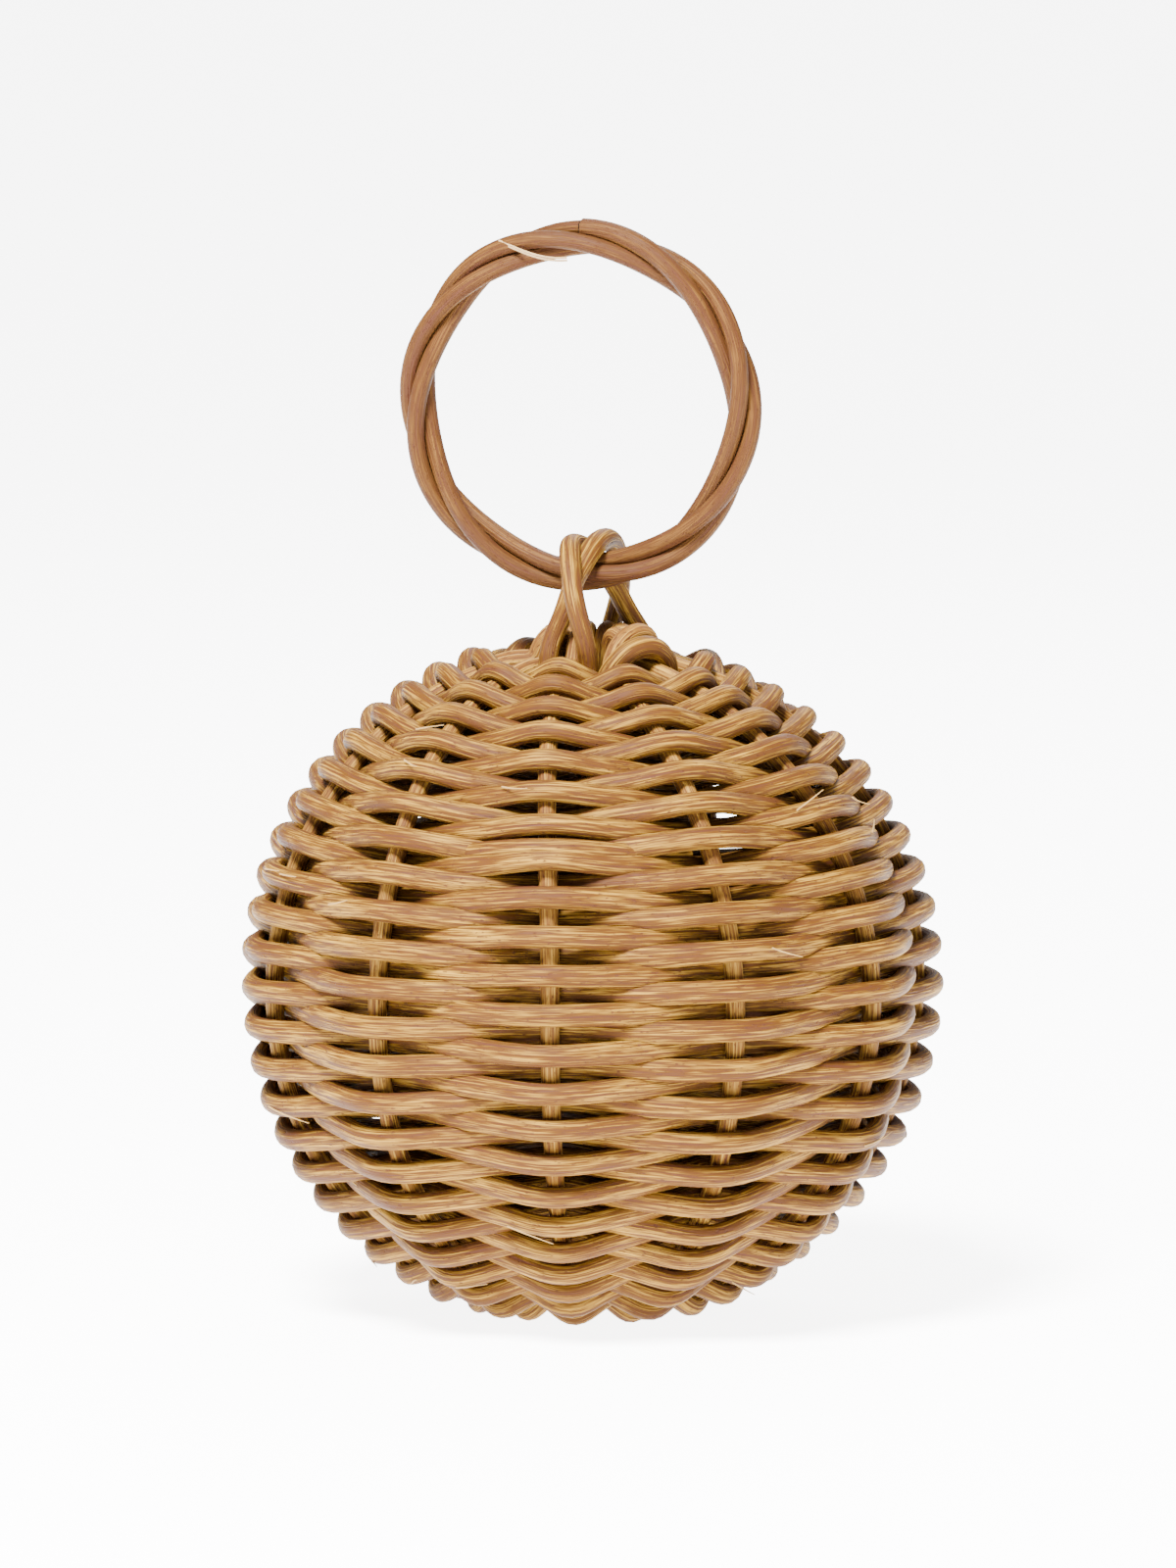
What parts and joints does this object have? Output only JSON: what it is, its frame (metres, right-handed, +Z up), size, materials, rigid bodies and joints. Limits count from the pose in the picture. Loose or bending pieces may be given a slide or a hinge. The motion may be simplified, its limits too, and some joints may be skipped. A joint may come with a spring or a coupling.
{
  "type": "woven rattan ball ornament",
  "caption": "Hollow ball of woven reed standing on a small flat spot, with a twisted reed ring held upright in a twisted loop on its crown.",
  "frame": {"origin": "middle of the flat spot that the ball stands on", "axes": "+Z up through the crown, the loop and the ring; -Y is the front, where the ring shows its open side turned a little to the left"},
  "size_m": [0.0795, 0.0799, 0.1231],
  "materials": {
    "weaving_reed": "peeled rattan core reed, satin, with fine streaks along the fibre",
    "stake_reed": "peeled rattan core reed, satin",
    "loop_reed": "peeled rattan core reed, satin, bent while wet",
    "ring_reed": "peeled rattan core reed, satin, a little darker"
  },
  "bodies": {
    "root": {"weaver_lower": "weaving_reed", "weaver_middle": "weaving_reed", "weaver_upper": "weaving_reed", "stake_rod_1": "stake_reed", "stake_rod_2": "stake_reed", "stake_rod_3": "stake_reed", "stake_rod_4": "stake_reed", "stake_rod_5": "stake_reed", "stake_rod_6": "stake_reed", "loop_strand_a": "loop_reed", "loop_strand_b": "loop_reed", "hanging_ring": "ring_reed"}
  },
  "joints": []
}
